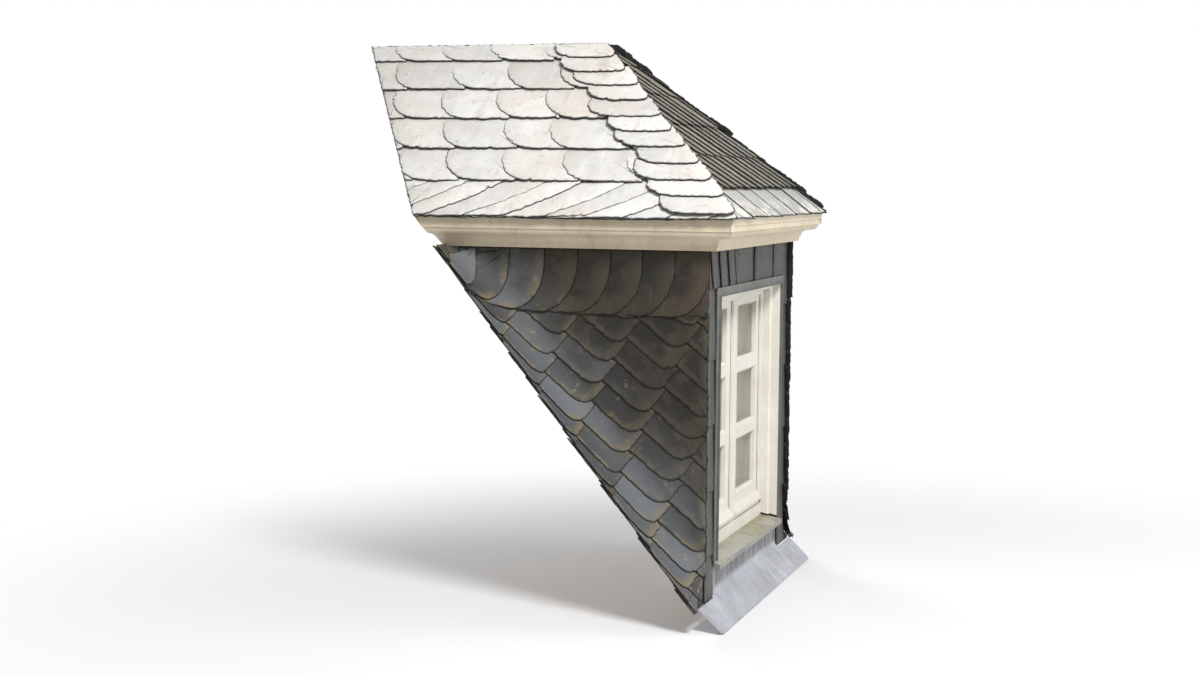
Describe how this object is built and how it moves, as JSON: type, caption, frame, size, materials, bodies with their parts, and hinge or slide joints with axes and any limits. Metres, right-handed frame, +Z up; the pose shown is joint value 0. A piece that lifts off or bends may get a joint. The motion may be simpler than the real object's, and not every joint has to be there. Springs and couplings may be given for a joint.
{
  "type": "dormer window",
  "caption": "Slate-clad roof dormer with hipped roof, moulded cornice and a wooden casement window of small panes, hollow, open at the back to the attic.",
  "frame": {"origin": "centre of the threshold's sloping underside, which lies on the main roof", "axes": "+X to the right across the front, -Y out of the window, +Z up; the main roof rises towards +Y at 52 degrees"},
  "size_m": [1.926, 2.1501, 2.6193],
  "materials": {
    "frame_timber": "sawn softwood, dry and unfinished",
    "rough_boards": "sawn boards, unfinished",
    "inner_lining": "planed softwood boards",
    "cheek_slate": "split slate, dark, with brown weathering",
    "front_slate": "split slate, blue-grey",
    "roof_slate": "split slate, weathered pale",
    "cream_paint": "cream gloss paint, aged",
    "window_paint": "off-white gloss paint",
    "pane_glass": "clear float glass",
    "zinc": "sheet zinc, dull blue-grey with pale edges"
  },
  "bodies": {
    "root": {"threshold": "frame_timber", "left_sole": "frame_timber", "right_sole": "frame_timber", "rear_trimmer": "frame_timber", "left_corner_post": "frame_timber", "right_corner_post": "frame_timber", "window_head": "frame_timber", "studs": "frame_timber", "front_plate": "frame_timber", "left_plate": "frame_timber", "right_plate": "frame_timber", "ridge_beam": "frame_timber", "hip_rafters": "frame_timber", "rafters": "frame_timber", "left_cheek": "rough_boards", "right_cheek": "rough_boards", "front_boards": "rough_boards", "lay_boards": "rough_boards", "left_roof_boards": "rough_boards", "right_roof_boards": "rough_boards", "front_roof_boards": "rough_boards", "left_valley_board": "rough_boards", "right_valley_board": "rough_boards", "left_lining": "inner_lining", "right_lining": "inner_lining", "ceiling": "inner_lining", "left_cheek_slates": "cheek_slate", "right_cheek_slates": "cheek_slate", "front_slates": "front_slate", "left_roof_slates": "roof_slate", "right_roof_slates": "roof_slate", "front_roof_slates": "roof_slate", "left_cornice": "cream_paint", "right_cornice": "cream_paint", "front_cornice": "cream_paint", "soffit": "cream_paint", "window_frame": "window_paint", "left_sash": "window_paint", "right_sash": "window_paint", "reveal_lining": "window_paint", "glass": "pane_glass", "opening_trim": "zinc", "window_sill": "zinc", "front_apron": "zinc"}
  },
  "joints": []
}
